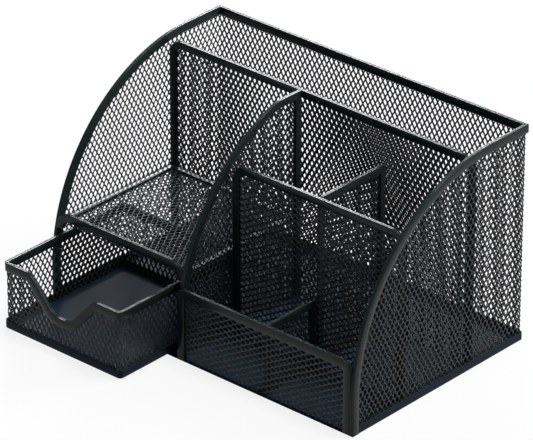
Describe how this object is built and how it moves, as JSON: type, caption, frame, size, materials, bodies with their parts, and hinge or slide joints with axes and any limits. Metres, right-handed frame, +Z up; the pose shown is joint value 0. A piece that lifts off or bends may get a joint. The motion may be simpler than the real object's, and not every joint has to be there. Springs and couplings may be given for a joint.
{
  "type": "pen stand with drawer",
  "caption": "Black steel mesh desk organiser with pen compartments, a rear slot, and a scooped drawer that slides out below a small shelf.",
  "frame": {"origin": "centre of the footprint of the stand, on the desk, without the drawer that stands out of it", "axes": "+X to the right along the front of the stand, +Y from its front to its rear, +Z up"},
  "size_m": [0.22, 0.178, 0.13],
  "materials": {
    "black_strip": "satin black powder coat on folded steel strip",
    "black_mesh": "satin black powder coat on expanded steel mesh",
    "black_sheet": "satin black powder coat on pressed steel sheet"
  },
  "bodies": {
    "stand": {"arc_divider_mesh": "black_mesh", "arc_divider_rim": "black_strip", "base_tray": "black_sheet", "cross_divider_mesh": "black_mesh", "cross_divider_rim": "black_strip", "front_divider_mesh": "black_mesh", "front_divider_rim": "black_strip", "front_panel_mesh": "black_mesh", "front_panel_rim": "black_strip", "left_wall_mesh": "black_mesh", "left_wall_rim": "black_strip", "pen_divider_mesh": "black_mesh", "pen_divider_rim": "black_strip", "rear_divider_mesh": "black_mesh", "rear_divider_rim": "black_strip", "rear_wall_mesh": "black_mesh", "rear_wall_rim": "black_strip", "right_wall_mesh": "black_mesh", "right_wall_rim": "black_strip", "shelf_edge_strip": "black_strip", "shelf_lip_rim": "black_strip", "shelf_mesh": "black_mesh"},
    "drawer": {"drawer_front_mesh": "black_mesh", "drawer_front_rim": "black_strip", "drawer_left_mesh": "black_mesh", "drawer_left_rim": "black_strip", "drawer_rear_mesh": "black_mesh", "drawer_rear_rim": "black_strip", "drawer_right_mesh": "black_mesh", "drawer_right_rim": "black_strip", "drawer_tray": "black_sheet"}
  },
  "joints": [
    {"name": "drawer_slide", "type": "slide", "parent": "stand", "child": "drawer", "axis": [0, -1, 0], "range_m": [-0.038, 0.046]}
  ]
}
